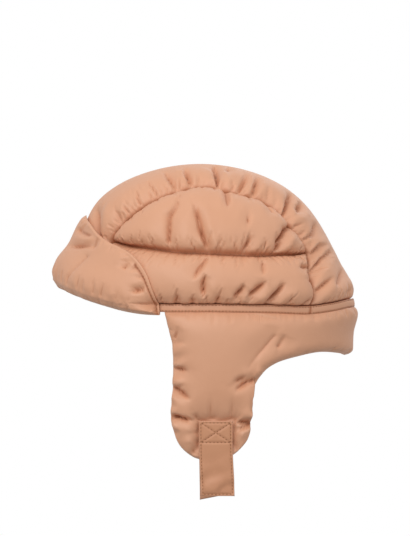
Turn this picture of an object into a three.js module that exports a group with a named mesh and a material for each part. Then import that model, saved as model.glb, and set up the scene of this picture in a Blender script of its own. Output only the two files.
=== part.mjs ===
// A padded trapper hat, held open as a head holds it. Its crown is a centre panel that runs from the brow
// over the top to the nape, between two side panels that are each quilted into two channels. A flat band
// closes the crown's foot. Below it hang the ear flaps and the neck guard, sewn as one piece, and a padded
// front flap is turned up over the brow. A flat chin strap is stitched to each ear flap.
// Millimetres, +Z up, the brow towards -X. The origin is the middle of the head opening, level with the band.
import * as THREE from 'three';
import { mergeVertices } from 'three/addons/utils/BufferGeometryUtils.js';

// The head form, measured over the seams
const crownLength = 234;
const crownWidth = 188;
const crownHeight = 113;

// Padding and walls
const seamWall = 6;
const edgeWall = 4;
const crownPuff = 11;
const liningPuff = 4.5;
const puffReach = 24;
const flapReach = 16;
// Folds take away at most this share of a piece's puff
const foldLimit = 0.6;
const seamGap = 0.3;
// How far flat facets can stray from the round form that they follow
const faceting = 0.1;

// The band round the crown's foot
const bandHeight = 7;
const bandProud = 3;
const browRise = 17.5;

// The ear flaps and the neck guard
const earFlapDrop = 132;
const earFlapWidth = 69;
const earFlapCentre = -3.5;
const neckDrop = 41.5;
const flapPuff = 9;

// The turned-up front flap
const frontFlapHeight = 64;
const frontFlapHang = 6.5;
const frontFlapLoft = 22;
const frontFlapEdgeWall = 3;
// Share of its loft that the flap has lost at its ends, beside its tapering edge
const frontFlapThinning = 0.35;
const frontFlapEnd = 66;
const frontFlapClearance = 1.2;
// The distance above the band over which the crown's padding rises under the flap
const frontFlapSeatReach = 17;
// Each tack: degrees from the brow's middle, share of the flap's height, reach, share of the loft it takes
const tackAngle = 38;
const tackHeight = 0.72;
const tackRadius = 11;
const tackPinch = 0.75;

// The chin straps
const strapWidth = 28;
const strapLength = 65;
const strapTop = 96;
const strapThickness = 2;
const strapShift = 5;
const strapBedLoft = 3.5;
const strapBedMargin = 7;

// Colours of the woven shell cloth and of the strap
const clothColour = 0xd9a384;
const strapColour = 0xcf9677;

// Outline of the head form over the seams, a row for each level: rise as a share of crownHeight, or below
// the band of earFlapDrop, front and back as shares of half crownLength, side of half crownWidth.
const levels = [
  { rise: -1.35, front: 0.975, back: 0.98, side: 0.85 },
  { rise: -1, front: 0.975, back: 0.98, side: 0.885 },
  { rise: -0.6, front: 0.975, back: 0.98, side: 0.95 },
  { rise: -0.3, front: 0.975, back: 0.98, side: 0.99 },
  { rise: -0.15, front: 0.975, back: 0.985, side: 1.0 },
  { rise: 0, front: 0.975, back: 1.02, side: 1.0 },
  { rise: 0.1, front: 0.965, back: 1.0, side: 1.005 },
  { rise: 0.2, front: 0.95, back: 0.92, side: 1.0 },
  { rise: 0.3, front: 0.933, back: 0.85, side: 0.985 },
  { rise: 0.45, front: 0.898, back: 0.77, side: 0.945 },
  { rise: 0.6, front: 0.86, back: 0.692, side: 0.875 },
  { rise: 0.75, front: 0.785, back: 0.578, side: 0.755 },
  { rise: 0.88, front: 0.612, back: 0.402, side: 0.565 },
  { rise: 0.94, front: 0.467, back: 0.263, side: 0.415 },
];

// The seam between the centre panel and a side panel, seen from the side: x as a share of half
// crownLength, z of crownHeight. Its first and last rows meet the band.
const archSeam = [
  { x: -0.86, z: 0.15 },
  { x: -0.809, z: 0.32 },
  { x: -0.743, z: 0.505 },
  { x: -0.553, z: 0.727 },
  { x: -0.281, z: 0.867 },
  { x: -0.081, z: 0.905 },
  { x: 0.155, z: 0.858 },
  { x: 0.382, z: 0.776 },
  { x: 0.537, z: 0.612 },
  { x: 0.676, z: 0.416 },
  { x: 0.691, z: 0.213 },
  { x: 0.698, z: 0.02 },
];
const quiltStart = 2;
const quiltEnd = 9;

// The quilting line that parts a side panel into two channels, in the same shares
const quiltLine = [
  { x: -0.743, z: 0.505 },
  { x: -0.595, z: 0.472 },
  { x: -0.397, z: 0.445 },
  { x: -0.191, z: 0.421 },
  { x: 0.081, z: 0.409 },
  { x: 0.338, z: 0.4 },
  { x: 0.559, z: 0.407 },
  { x: 0.676, z: 0.416 },
];

// Height of the band's middle line, from the nape round the ear to the brow: around is a share of half a
// turn, lift of browRise.
const bandRows = [
  { around: 0, lift: 0.25 },
  { around: 0.1, lift: 0.2 },
  { around: 0.19, lift: 0.03 },
  { around: 0.27, lift: -0.1 },
  { around: 0.36, lift: -0.05 },
  { around: 0.5, lift: 0 },
  { around: 0.66, lift: 0.03 },
  { around: 0.73, lift: 0.2 },
  { around: 0.86, lift: 0.72 },
  { around: 0.95, lift: 0.97 },
  { around: 1, lift: 1 },
];

// The lower edge of an ear flap and the neck guard, from the flap's front edge to the nape. On the ear
// flap, along counts from its middle in half widths and drop is a share of earFlapDrop. On the neck
// guard, along runs from the ear flap to the nape and drop goes from neckDrop (0) to earFlapDrop (1).
const earOutline = [
  { along: -0.93, drop: 0.76 },
  { along: -0.87, drop: 0.88 },
  { along: -0.66, drop: 0.965 },
  { along: -0.3, drop: 1.0 },
  { along: 0.12, drop: 1.0 },
  { along: 0.52, drop: 0.98 },
  { along: 0.82, drop: 0.925 },
  { along: 0.97, drop: 0.84 },
  { along: 1.01, drop: 0.7 },
  { along: 1.06, drop: 0.56 },
];
const neckOutline = [
  { along: 0.06, drop: 0.26 },
  { along: 0.15, drop: 0.13 },
  { along: 0.3, drop: 0.03 },
  { along: 0.5, drop: -0.02 },
  { along: 0.75, drop: -0.03 },
  { along: 1.0, drop: 0 },
];
// The front edge of an ear flap: it leans back as it comes down from the band
const earFrontTop = -1.15;

// Free edge of the front flap, from the brow's middle to the end: around is a share of frontFlapEnd,
// height of frontFlapHeight.
const frontFlapEdge = [
  { around: 0, height: 1.0 },
  { around: 0.27, height: 0.955 },
  { around: 0.485, height: 0.875 },
  { around: 0.606, height: 0.84 },
  { around: 0.773, height: 0.8 },
  { around: 0.89, height: 0.69 },
  { around: 0.955, height: 0.51 },
  { around: 0.985, height: 0.23 },
  { around: 1.0, height: 0.05 },
];
// Thickness of the front flap from its fold (0) to its free edge (1), as a share of frontFlapLoft
const frontFlapSection = [
  { up: 0, thick: 0.45 },
  { up: 0.06, thick: 0.8 },
  { up: 0.14, thick: 0.97 },
  { up: 0.25, thick: 1.0 },
  { up: 0.4, thick: 0.79 },
  { up: 0.6, thick: 0.5 },
  { up: 0.8, thick: 0.33 },
  { up: 0.93, thick: 0.27 },
  { up: 1.0, thick: 0.14 },
];

// Main folds in the crown's cloth, each a groove seen from the side, in shares of half crownLength and of
// crownHeight. depth is a share of crownPuff, width one of puffReach. It is deepest where it starts.
const crownFolds = [
  { x0: 0.037, z0: 0.885, x1: -0.007, z1: 1.02, depth: 0.4, width: 0.3 },
  { x0: 0.162, z0: 0.85, x1: 0.213, z1: 0.93, depth: 0.34, width: 0.3 },
  { x0: 0.49, z0: 0.67, x1: 0.53, z1: 0.85, depth: 0.45, width: 0.3 },
  { x0: 0.54, z0: 0.625, x1: 0.615, z1: 0.66, depth: 0.5, width: 0.3 },
  { x0: 0.685, z0: 0.26, x1: 0.79, z1: 0.43, depth: 0.5, width: 0.3 },
  { x0: 0.7, z0: 0.1, x1: 0.82, z1: 0.21, depth: 0.45, width: 0.32 },
  { x0: -0.81, z0: 0.55, x1: -0.8, z1: 0.77, depth: 0.4, width: 0.3 },
  { x0: -0.235, z0: 0.86, x1: -0.31, z1: 0.66, depth: 0.4, width: 0.3 },
  { x0: -0.065, z0: 0.47, x1: -0.17, z1: 0.77, depth: 0.35, width: 0.3 },
  { x0: 0.087, z0: 0.865, x1: 0.083, z1: 0.69, depth: 0.4, width: 0.3 },
  { x0: 0.2, z0: 0.42, x1: 0.22, z1: 0.64, depth: 0.36, width: 0.32 },
  { x0: 0.525, z0: 0.62, x1: 0.425, z1: 0.49, depth: 0.55, width: 0.3 },
  { x0: -0.08, z0: 0.16, x1: -0.05, z1: 0.3, depth: 0.35, width: 0.32 },
  { x0: 0.14, z0: 0.06, x1: 0.22, z1: 0.18, depth: 0.45, width: 0.3 },
  { x0: 0.24, z0: 0.1, x1: 0.36, z1: 0.2, depth: 0.4, width: 0.32 },
  { x0: 0.385, z0: 0.05, x1: 0.48, z1: 0.18, depth: 0.55, width: 0.32 },
  { x0: 0.68, z0: 0.25, x1: 0.62, z1: 0.14, depth: 0.5, width: 0.3 },
];
// Main folds in the ear flaps: x counts from the flap's middle in half widths, z is a share of
// earFlapDrop, depth of flapPuff, width of puffReach.
const earFolds = [
  { x0: -1.0, z0: -0.51, x1: -0.55, z1: -0.6, depth: 0.5, width: 0.3 },
  { x0: -0.3, z0: -0.72, x1: -0.85, z1: -0.7, depth: 0.4, width: 0.3 },
  { x0: 1.15, z0: -0.46, x1: 0.66, z1: -0.55, depth: 0.5, width: 0.32 },
  { x0: 0.62, z0: -0.72, x1: 0.98, z1: -0.7, depth: 0.4, width: 0.3 },
  { x0: 1.5, z0: -0.4, x1: 1.3, z1: -0.24, depth: 0.4, width: 0.3 },
];
// Gathers along the arch seam: how many puckers it draws in, how deep, and how far they run from it
const gatherCount = 22;
const gatherDepth = 1.2;
const gatherRun = 11;

// How finely each piece is cut
const footCells = 6;
const archCells = 26;
const crestCells = 6;
const panelHalfCells = 5;
const bandCells = 72;
const skirtCells = 64;
const skirtRows = 11;
// How closely the columns of the ear flaps and neck guard run straight down: 1 is straight
const columnLean = 0.65;
const frontFlapCells = 36;
const frontFlapRows = 9;
const strapCells = 3;
const strapRows = 10;

const halfLength = crownLength / 2;
const halfWidth = crownWidth / 2;
const degrees = Math.PI / 180;
const lerp = THREE.MathUtils.lerp;
const clamp = THREE.MathUtils.clamp;
const smooth = (t) => THREE.MathUtils.smoothstep(t, 0, 1);

// A curve through the rows' values: cubic between the rows, straight beyond the first and the last
function curveThrough(at, value) {
  const slope = at.map((_, i) => {
    const a = Math.max(i - 1, 0);
    const b = Math.min(i + 1, at.length - 1);
    return (value[b] - value[a]) / (at[b] - at[a]);
  });
  const last = at.length - 1;
  return (x) => {
    if (x <= at[0]) return value[0] + slope[0] * (x - at[0]);
    if (x >= at[last]) return value[last] + slope[last] * (x - at[last]);
    let i = 0;
    while (x > at[i + 1]) i += 1;
    const span = at[i + 1] - at[i];
    const t = (x - at[i]) / span;
    const rise = value[i + 1] - value[i];
    const a = slope[i] * span - rise;
    const b = rise - slope[i + 1] * span;
    return value[i] + t * rise + t * (1 - t) * ((1 - t) * a + t * b);
  };
}

// At each height the form is an oval. Its middle, and its squared half length and half width over the
// depth below the top, run smoothly right up to the top, where the oval closes.
const heights = levels.map(({ rise }) => rise * (rise < 0 ? earFlapDrop : crownHeight));
const below = heights.map((z) => crownHeight - z);
const middleAt = curveThrough(heights, levels.map((l) => (halfLength * (l.back - l.front)) / 2));
const lengthAt = curveThrough(
  heights,
  levels.map((l, i) => ((halfLength * (l.back + l.front)) / 2) ** 2 / below[i]),
);
const widthAt = curveThrough(heights, levels.map((l, i) => (halfWidth * l.side) ** 2 / below[i]));

// The form's pattern plane: (p, q) runs from the top's middle out to the band at radius 1, p to the back
function formPoint(p, q) {
  const z = crownHeight * (1 - p * p - q * q);
  const x = middleAt(z) + p * Math.sqrt(lengthAt(z) * crownHeight);
  return new THREE.Vector3(x, q * Math.sqrt(widthAt(z) * crownHeight), z);
}

function formNormal({ x, y, z }) {
  const level = (h) => (x - middleAt(h)) ** 2 / lengthAt(h) + y ** 2 / widthAt(h) - (crownHeight - h);
  const step = 0.5;
  return new THREE.Vector3(
    (2 * (x - middleAt(z))) / lengthAt(z),
    (2 * y) / widthAt(z),
    (level(z + step) - level(z - step)) / (2 * step),
  ).normalize();
}

// Pattern points: from a place seen from the side, and from an angle round the head (0 at the nape, 180
// degrees at the brow) and a height. side is -1 on the wearer's left, which is -Y, and 1 on the right.
function fromSideView(x, z, side) {
  const reach = 1 - z / crownHeight;
  const p = (x - middleAt(z)) / Math.sqrt(lengthAt(z) * crownHeight);
  return new THREE.Vector2(p, side * Math.sqrt(Math.max(reach - p * p, 0)));
}

function fromAngle(angle, z) {
  const reach = Math.sqrt(1 - z / crownHeight);
  return new THREE.Vector2(reach * Math.cos(angle), reach * Math.sin(angle));
}

// The angle round the head at which a place is seen from the side at x, z
function angleAt(x, z = 0) {
  const half = Math.sqrt(lengthAt(z) * (crownHeight - z));
  return Math.acos(clamp((x - middleAt(z)) / half, -1, 1));
}

// Height of the band's middle line at an angle round the head
const bandLift = curveThrough(
  bandRows.map(({ around }) => around),
  bandRows.map(({ lift }) => lift * browRise),
);
const bandLine = (angle) => bandLift(Math.acos(Math.cos(angle)) / Math.PI);

// How far padding has risen at a distance from a seam: a quarter round
function swell(distance, reach = puffReach) {
  const t = clamp(distance / reach, 0, 1);
  return Math.sqrt(1 - (1 - t) ** 2);
}

// Depth of the folds at a place seen from the side
function foldDepth(folds, x, z) {
  let depth = 0;
  for (const f of folds) {
    const dx = f.x1 - f.x0;
    const dz = f.z1 - f.z0;
    const t = clamp(((x - f.x0) * dx + (z - f.z0) * dz) / (dx * dx + dz * dz), 0, 1);
    const away = Math.hypot(x - f.x0 - t * dx, z - f.z0 - t * dz) / f.width;
    depth += f.depth * (1 - t * t) * Math.exp(-away * away);
  }
  return depth;
}

const crownFoldsReal = crownFolds.map((f) => ({
  x0: f.x0 * halfLength,
  z0: f.z0 * crownHeight,
  x1: f.x1 * halfLength,
  z1: f.z1 * crownHeight,
  depth: f.depth * crownPuff,
  width: f.width * puffReach,
}));
const earX = (share) => earFlapCentre + (share * earFlapWidth) / 2;
const earFoldsReal = earFolds.map((f) => ({
  x0: earX(f.x0),
  z0: f.z0 * earFlapDrop,
  x1: earX(f.x1),
  z1: f.z1 * earFlapDrop,
  depth: f.depth * flapPuff,
  width: f.width * puffReach,
}));

// Evenly spaced points on a smooth curve in the pattern plane
function spaced(points, cells) {
  return new THREE.SplineCurve(points).getSpacedPoints(cells);
}

// The seam surface of one panel: rows of form points with their normals, drawn back from the panel's
// borders by half the gap that it keeps to its neighbours
function panelSheet(pattern) {
  const sheet = pattern.map((row) =>
    row.map((at) => {
      const point = formPoint(at.x, at.y);
      return { point, normal: formNormal(point) };
    }),
  );
  const rows = sheet.length - 1;
  const cells = sheet[0].length - 1;
  const draw = (from, towards) => {
    const step = towards.point.clone().sub(from.point);
    if (step.length() > seamGap) from.point.add(step.setLength(seamGap / 2));
  };
  for (let i = 0; i <= cells; i += 1) {
    draw(sheet[0][i], sheet[1][i]);
    draw(sheet[rows][i], sheet[rows - 1][i]);
  }
  for (let j = 0; j <= rows; j += 1) {
    draw(sheet[j][0], sheet[j][1]);
    draw(sheet[j][cells], sheet[j][cells - 1]);
  }
  return sheet;
}

// Distances along a sheet's rows and columns from each place to its four borders
function borderDistances(sheet, firstRow = 0, lastRow = sheet.length - 1) {
  const cells = sheet[0].length - 1;
  const gap = (a, b) => a.point.distanceTo(b.point);
  const run = sheet.map(() => []);
  for (let j = firstRow; j <= lastRow; j += 1) {
    for (let i = 0; i <= cells; i += 1) {
      const west = i ? run[j][i - 1].west + gap(sheet[j][i], sheet[j][i - 1]) : 0;
      const south = j > firstRow ? run[j - 1][i].south + gap(sheet[j][i], sheet[j - 1][i]) : 0;
      run[j][i] = { west, south };
    }
  }
  for (let j = firstRow; j <= lastRow; j += 1) {
    for (let i = 0; i <= cells; i += 1) {
      run[j][i].east = run[j][cells].west - run[j][i].west;
      run[j][i].north = run[lastRow][i].south - run[j][i].south;
    }
  }
  return run;
}

// A closed padded body: an outer and an inner face over one sheet, joined round its border. outer and
// inner give how far each face stands from the seam surface.
function paddedBody(sheet, outer, inner) {
  const rows = sheet.length;
  const cells = sheet[0].length;
  const positions = [];
  for (const face of [outer, inner]) {
    sheet.forEach((row, j) =>
      row.forEach(({ point, normal }, i) => {
        positions.push(...point.clone().addScaledVector(normal, face(j, i)).toArray());
      }),
    );
  }
  const faceSize = rows * cells;
  const triangles = [];
  const corner = (k) => new THREE.Vector3().fromArray(positions, 3 * k);
  // Each four-sided cell is split along its shorter diagonal
  const quad = (a, b, c, d) => {
    const short = corner(a).distanceTo(corner(c)) <= corner(b).distanceTo(corner(d));
    triangles.push(...(short ? [a, b, c, a, c, d] : [a, b, d, b, c, d]));
  };
  const at = (j, i) => j * cells + i;
  for (let j = 0; j + 1 < rows; j += 1) {
    for (let i = 0; i + 1 < cells; i += 1) {
      const corners = [at(j, i), at(j, i + 1), at(j + 1, i + 1), at(j + 1, i)];
      quad(...corners);
      quad(...corners.map((k) => k + faceSize).reverse());
    }
  }
  const wall = (a, b) => quad(b, a, a + faceSize, b + faceSize);
  for (let i = 0; i + 1 < cells; i += 1) {
    wall(at(0, i), at(0, i + 1));
    wall(at(rows - 1, i + 1), at(rows - 1, i));
  }
  for (let j = 0; j + 1 < rows; j += 1) {
    wall(at(j + 1, 0), at(j, 0));
    wall(at(j, cells - 1), at(j + 1, cells - 1));
  }
  return closedGeometry(positions, triangles);
}

// Merges shared points, drops the triangles that close up to a line and turns the faces outwards
function closedGeometry(positions, triangles) {
  const loose = new THREE.BufferGeometry();
  loose.setAttribute('position', new THREE.Float32BufferAttribute(positions, 3));
  loose.setIndex(triangles);
  const merged = mergeVertices(loose, 1e-3);
  const place = merged.getAttribute('position');
  const corner = (k) => new THREE.Vector3().fromBufferAttribute(place, k);
  const kept = [];
  let volume = 0;
  for (let k = 0; k < merged.index.count; k += 3) {
    const [a, b, c] = [0, 1, 2].map((n) => merged.index.getX(k + n));
    if (a === b || b === c || c === a) continue;
    kept.push([a, b, c]);
    volume += corner(a).dot(corner(b).cross(corner(c)));
  }
  merged.setIndex((volume < 0 ? kept.map((t) => t.reverse()) : kept).flat());
  merged.computeVertexNormals();
  return merged;
}

// The arch seam of one side as three runs of pattern points: up from the band to the quilting line,
// over the top, and down to the band again
function archRuns(side) {
  const points = archSeam.map(({ x, z }) => fromSideView(x * halfLength, z * crownHeight, side));
  for (const end of [0, points.length - 1]) {
    const angle = Math.atan2(points[end].y, points[end].x);
    points[end] = fromAngle(angle, bandLine(angle) + bandHeight / 2);
  }
  return {
    rise: spaced(points.slice(0, quiltStart + 1), footCells),
    crest: spaced(points.slice(quiltStart, quiltEnd + 1), archCells),
    fall: spaced(points.slice(quiltEnd), footCells),
  };
}

// A line of pattern points along the band's upper edge between two angles
function bandTopRun(from, to, cells) {
  return Array.from({ length: cells + 1 }, (_, i) => {
    const angle = lerp(from, to, i / cells);
    return fromAngle(angle, bandLine(angle) + bandHeight / 2);
  });
}

const angleOf = (at) => Math.atan2(at.y, at.x);

// Puckers that the arch seam draws into the cloth on both its sides
function gather(share, distance) {
  const wave = Math.sin(share * gatherCount * Math.PI) ** 2;
  return gatherDepth * wave * Math.exp(-distance / gatherRun) * swell(distance, gatherRun);
}

function crownBody(sheet, loft, cover) {
  const outer = (j, i) => {
    const { x, z } = sheet[j][i].point;
    const folds = Math.min(foldDepth(crownFoldsReal, x, z) * loft(j, i), crownPuff * foldLimit);
    return crownPuff * loft(j, i) - folds - cover(j, i);
  };
  return paddedBody(sheet, outer, (j, i) => -seamWall - liningPuff * loft(j, i));
}

// The centre panel, from the brow over the top to the nape
function centrePanel() {
  const arch = { left: archRuns(-1), right: archRuns(1) };
  const edge = ({ rise, crest, fall }) => [...rise, ...crest.slice(1), ...fall.slice(1)];
  const left = edge(arch.left);
  const right = edge(arch.right);
  const across = Array.from({ length: 2 * panelHalfCells + 1 }, (_, j) => j / panelHalfCells - 1);
  const last = left.length - 1;
  const brow = bandTopRun(2 * Math.PI + angleOf(left[0]), angleOf(right[0]), across.length - 1);
  const nape = bandTopRun(angleOf(left[last]), angleOf(right[last]), across.length - 1);
  // A straight line between the seams, bent near the band so that the panel ends on the band's edge. The
  // fourth power keeps that bend close to the ends.
  const pattern = across.map((t, j) =>
    left.map((from, i) => {
      const share = (t + 1) / 2;
      const along = i / last;
      const straight = (k) => new THREE.Vector2().lerpVectors(left[k], right[k], share);
      const start = brow[j].clone().sub(straight(0)).multiplyScalar((1 - along) ** 4);
      const end = nape[j].clone().sub(straight(last)).multiplyScalar(along ** 4);
      return straight(i).add(start).add(end);
    }),
  );
  const sheet = panelSheet(pattern);
  const run = borderDistances(sheet);
  const loft = (j, i) => {
    const { west, east, south, north } = run[j][i];
    return swell(west) * swell(east) * swell(south) * swell(north);
  };
  const cover = (j, i) => gather(i / last, run[j][i].south) + gather(i / last, run[j][i].north);
  return crownBody(sheet, loft, cover);
}

// A point of a four-sided patch in the pattern plane, from its borders
function patchPoint(low, high, start, end, u, v, i, j) {
  const point = new THREE.Vector2();
  point.addScaledVector(low[i], 1 - v).addScaledVector(high[i], v);
  point.addScaledVector(start[j], 1 - u).addScaledVector(end[j], u);
  point.addScaledVector(low[0], -(1 - u) * (1 - v)).addScaledVector(high[0], -(1 - u) * v);
  point.addScaledVector(low[low.length - 1], -u * (1 - v));
  return point.addScaledVector(high[high.length - 1], -u * v);
}

// A side panel: a lower channel from the band to the quilting line, an upper one from there to the arch
function sidePanel(side) {
  const { rise, crest, fall } = archRuns(side);
  const down = [...fall].reverse();
  const start = side < 0 ? angleOf(rise[0]) + 2 * Math.PI : angleOf(rise[0]);
  const end = side < 0 ? angleOf(down[0]) + 2 * Math.PI : angleOf(down[0]);
  const foot = bandTopRun(start, end, archCells);
  const quilt = spaced(
    quiltLine.map(({ x, z }) => fromSideView(x * halfLength, z * crownHeight, side)),
    archCells,
  );
  const lower = rise.map((_, j) =>
    foot.map((__, i) => patchPoint(foot, quilt, rise, down, i / archCells, j / footCells, i, j)),
  );
  const upper = Array.from({ length: crestCells }, (_, j) =>
    quilt.map((at, i) => at.clone().lerp(crest[i], (j + 1) / crestCells)),
  );
  const sheet = panelSheet([...lower, ...upper]);
  for (let j = footCells + 1; j < sheet.length; j += 1) {
    sheet[j][0] = sheet[footCells][0];
    sheet[j][archCells] = sheet[footCells][archCells];
  }
  const lowRun = borderDistances(sheet, 0, footCells);
  const highRun = borderDistances(sheet, footCells);
  const loft = (j, i) => {
    if (j > footCells) return swell(highRun[j][i].south) * swell(highRun[j][i].north);
    const { west, east, south, north } = lowRun[j][i];
    return swell(west) * swell(east) * swell(south) * swell(north);
  };
  const cover = (j, i) => (j > footCells ? gather(i / archCells, highRun[j][i].north) : 0);
  return crownBody(sheet, loft, cover);
}

// The flat band: a closed ring of four faces between the crown and what hangs below it
function band() {
  const positions = [];
  const triangles = [];
  const half = bandHeight / 2 - seamGap / 2;
  for (let k = 0; k < bandCells; k += 1) {
    const angle = (k / bandCells) * 2 * Math.PI;
    const next = ((k + 1) % bandCells) * 4;
    for (const [lift, stand] of [
      [-half, bandProud],
      [half, bandProud],
      [half, -seamWall],
      [-half, -seamWall],
    ]) {
      const at = fromAngle(angle, bandLine(angle) + lift);
      const point = formPoint(at.x, at.y);
      positions.push(...point.addScaledVector(formNormal(point.clone()), stand).toArray());
    }
    for (let c = 0; c < 4; c += 1) {
      const [a, b] = [k * 4 + c, k * 4 + ((c + 1) % 4)];
      const [d, e] = [next + c, next + ((c + 1) % 4)];
      triangles.push(a, b, e, a, e, d);
    }
  }
  return closedGeometry(positions, triangles);
}

// Lower edge of the ear flap and neck guard, laid flat: x is the length that an angle round the head spans
// on the band. It runs from the front of the right ear flap round the nape to the front of the left one.
function skirtEdge() {
  const flat = (angle, z) => new THREE.Vector2(angle * halfWidth, z);
  const ear = earOutline.map(({ along, drop }) => {
    const z = -drop * earFlapDrop;
    return flat(angleAt(earX(along), z), z);
  });
  const earBack = ear[ear.length - 1].x / halfWidth;
  const neck = neckOutline.map(({ along, drop }) =>
    flat(earBack * (1 - along), -lerp(neckDrop, earFlapDrop, drop)),
  );
  const right = [...ear, ...neck];
  const left = right.slice(0, -1).reverse().map(({ x, y }) => new THREE.Vector2(-x, y));
  return spaced([...right, ...left], skirtCells);
}

// Ear flaps and neck guard in one padded piece, from one front edge round the nape to the other
function earAndNeckFlap() {
  const low = skirtEdge();
  const frontAngle = angleAt(earX(earFrontTop));
  const top = low.map(({ x }, i) => {
    const angle = frontAngle * lerp(1 - (2 * i) / skirtCells, x / low[0].x, columnLean);
    return new THREE.Vector2(angle * halfWidth, bandLine(angle) - bandHeight / 2);
  });
  const columnDown = (i) =>
    Array.from({ length: skirtRows + 1 }, (_, j) => top[i].clone().lerp(low[i], j / skirtRows));
  const right = columnDown(0);
  const left = columnDown(skirtCells);
  const pattern = right.map((_, j) =>
    low.map((__, i) => {
      const at = patchPoint(top, low, right, left, i / skirtCells, j / skirtRows, i, j);
      return fromAngle(at.x / halfWidth, at.y);
    }),
  );
  const sheet = panelSheet(pattern);
  const run = borderDistances(sheet);
  const loft = (j, i) => {
    const { west, east, south, north } = run[j][i];
    return [west, east, south, north].reduce((open, edge) => open * swell(edge, flapReach), 1);
  };
  // The padding is pressed flat under the strap
  const bed = (x, z) => {
    const aside = Math.abs(x - strapX) - strapWidth / 2 - strapBedMargin;
    const above = z + strapTop - strapBedMargin;
    return (1 - smooth(aside / flapReach)) * (1 - smooth(above / flapReach));
  };
  const outer = (j, i) => {
    const { x, z } = sheet[j][i].point;
    const open = flapPuff * loft(j, i);
    const folds = Math.min(foldDepth(earFoldsReal, x, z) * loft(j, i), open * foldLimit);
    return lerp(open - folds, Math.min(open, strapBedLoft), bed(x, z));
  };
  const inner = (j, i) => {
    const wall = lerp(seamWall, edgeWall, smooth(j / skirtRows));
    return -wall - liningPuff * loft(j, i);
  };
  return paddedBody(sheet, outer, inner);
}

const strapX = earFlapCentre + strapShift;

// A flat chin strap that lies on the pressed part of an ear flap and hangs below it
function chinStrap(side) {
  const pattern = Array.from({ length: strapRows + 1 }, (_, j) => {
    const z = -strapTop - (strapLength * j) / strapRows;
    return Array.from({ length: strapCells + 1 }, (__, i) => {
      const x = strapX + strapWidth * (i / strapCells - 0.5);
      return fromSideView(x, z, side);
    });
  });
  const sheet = panelSheet(pattern);
  const seat = strapBedLoft + 2 * seamGap;
  return paddedBody(sheet, () => seat + strapThickness, () => seat);
}

// The front flap: sewn on at the band, turned up over the brow and tacked to the crown at both temples
function frontFlap() {
  const end = frontFlapEnd * degrees;
  const foot = (angle) => bandLine(Math.PI - angle) - frontFlapHang;
  const flat = (angle, z) => new THREE.Vector2(angle * halfLength, z);
  const edge = frontFlapEdge.map(({ around, height }) => {
    const angle = around * end;
    return flat(angle, foot(angle) + height * frontFlapHeight);
  });
  const mirrored = edge.slice(1).reverse().map(({ x, y }) => new THREE.Vector2(-x, y));
  const high = spaced([...mirrored, ...edge], frontFlapCells);
  const low = high.map((_, i) => {
    const angle = end * ((2 * i) / frontFlapCells - 1);
    return flat(angle, foot(angle));
  });
  const pattern = Array.from({ length: frontFlapRows + 1 }, (_, j) =>
    low.map((at, i) => {
      const { x, y } = at.clone().lerp(high[i], j / frontFlapRows);
      return fromAngle(Math.PI + x / halfLength, y);
    }),
  );
  const sheet = panelSheet(pattern);
  const run = borderDistances(sheet);
  const section = curveThrough(
    frontFlapSection.map(({ up }) => up),
    frontFlapSection.map(({ thick }) => thick),
  );
  // It lies on the crown's padding, and at its foot on the band
  const seat = (j, i) => {
    const { x, y, z } = sheet[j][i].point;
    const angle = Math.atan2(y / halfWidth, (x - middleAt(z)) / halfLength);
    const above = z - bandLine(angle) - bandHeight / 2;
    const padded = crownPuff * swell(above, frontFlapSeatReach) + frontFlapClearance;
    return Math.max(padded, bandProud + seamGap + faceting);
  };
  const tackFoot = foot(tackAngle * degrees);
  const tackAt = fromAngle(
    Math.PI - tackAngle * degrees,
    tackFoot + tackHeight * frontFlapHeight,
  );
  const pinned = formPoint(tackAt.x, tackAt.y);
  const tack = (j, i) => {
    const { x, y, z } = sheet[j][i].point;
    const away = pinned.distanceTo(new THREE.Vector3(x, Math.abs(y), z)) / tackRadius;
    return tackPinch * Math.exp(-away * away);
  };
  const thickness = (j, i) => {
    const { west, east } = run[j][i];
    const side = Math.abs((2 * i) / frontFlapCells - 1);
    const thinned = 1 - frontFlapThinning * smooth(side);
    const padded = frontFlapLoft * section(j / frontFlapRows) * thinned;
    return Math.max(padded * swell(west) * swell(east) * (1 - tack(j, i)), frontFlapEdgeWall);
  };
  return paddedBody(sheet, (j, i) => seat(j, i) + thickness(j, i), seat);
}

const cloth = () =>
  new THREE.MeshStandardMaterial({ color: clothColour, roughness: 0.55, metalness: 0 });
const strapCloth = () =>
  new THREE.MeshStandardMaterial({ color: strapColour, roughness: 0.6, metalness: 0 });

const hat = new THREE.Group();
function add(name, geometry, material) {
  const mesh = new THREE.Mesh(geometry, material);
  mesh.name = name;
  hat.add(mesh);
}

add('crown_centre_panel', centrePanel(), cloth());
add('crown_side_panel_left', sidePanel(-1), cloth());
add('crown_side_panel_right', sidePanel(1), cloth());
add('crown_band', band(), cloth());
add('front_flap', frontFlap(), cloth());
add('ear_and_neck_flap', earAndNeckFlap(), cloth());
add('chin_strap_left', chinStrap(-1), strapCloth());
add('chin_strap_right', chinStrap(1), strapCloth());

export default hat;
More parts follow.
